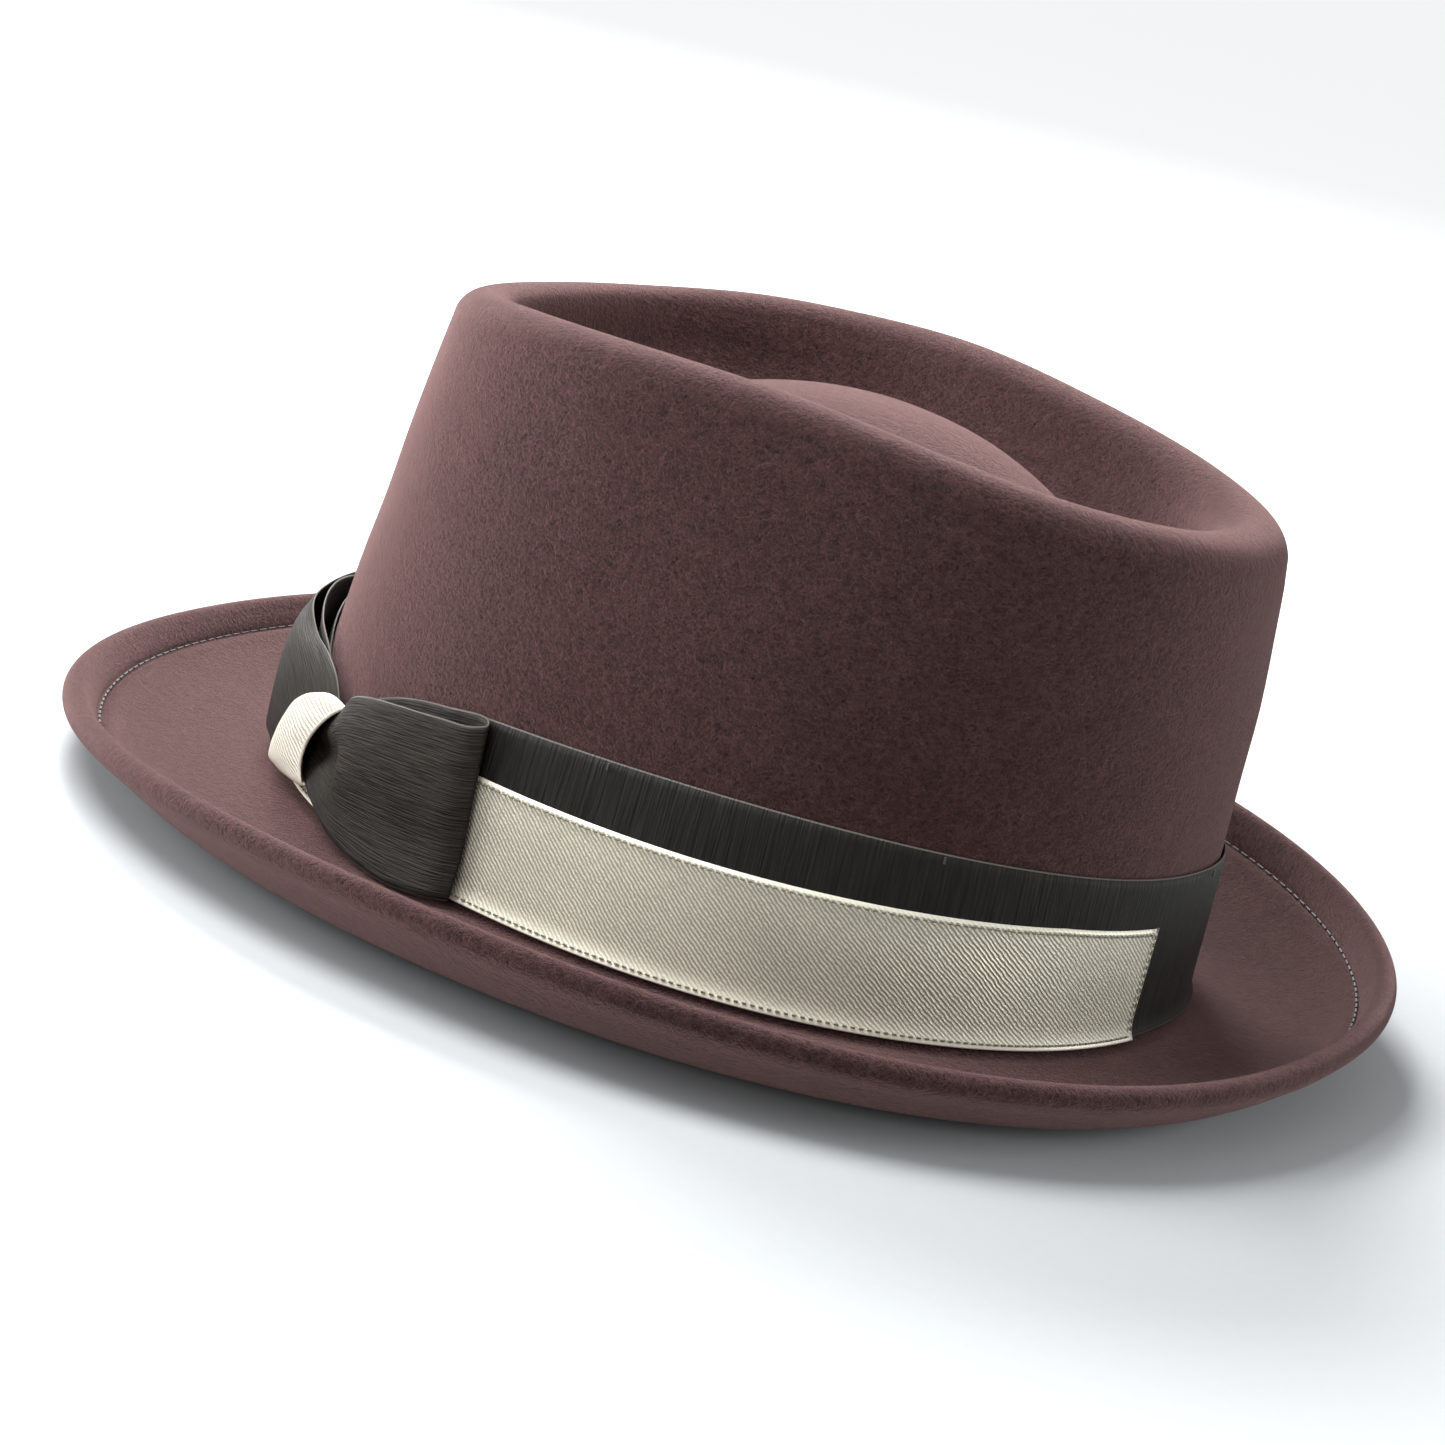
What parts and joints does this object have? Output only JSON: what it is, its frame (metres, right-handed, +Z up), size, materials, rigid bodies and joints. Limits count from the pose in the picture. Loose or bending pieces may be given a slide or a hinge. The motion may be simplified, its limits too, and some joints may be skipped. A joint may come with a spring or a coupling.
{
  "type": "fedora hat",
  "caption": "Felt fedora with a teardrop crown, rolled welt brim, ribbed band with a pale trim strip and a side bow.",
  "frame": {"origin": "middle of the brim's outline, on the surface that the hat stands on", "axes": "+Z up through the crown, -Y towards the front of the hat, +X towards the wearer's left"},
  "size_m": [0.2832, 0.3012, 0.1232],
  "materials": {
    "felt": "short brushed fur felt",
    "felt_thread": "cotton thread",
    "band_ribbon": "ribbed grosgrain",
    "band_thread": "cotton thread",
    "strip_ribbon": "twill with a soft metallic sheen",
    "strip_thread": "cotton thread",
    "sweat_leather": "smooth roan leather",
    "sweat_thread": "cotton thread",
    "reed_plastic": "drawn plastic",
    "tape_cloth": "plain woven tape",
    "lining_satin": "satin"
  },
  "bodies": {
    "root": {"felt_body": "felt", "welt_stitching": "felt_thread", "hat_band": "band_ribbon", "band_tack_stitches": "band_thread", "trim_strip": "strip_ribbon", "strip_top_stitching": "strip_thread", "strip_bottom_stitching": "strip_thread", "strip_end_stitching": "strip_thread", "bow_front_loop": "band_ribbon", "bow_back_loop": "band_ribbon", "bow_knot": "strip_ribbon", "sweatband": "sweat_leather", "sweatband_stitching": "sweat_thread", "sweatband_rear_bow": "band_ribbon", "sweatband_reed": "reed_plastic", "reed_tape": "tape_cloth", "lining_side": "lining_satin", "lining_tip": "lining_satin", "lining_piping": "band_thread"}
  },
  "joints": []
}
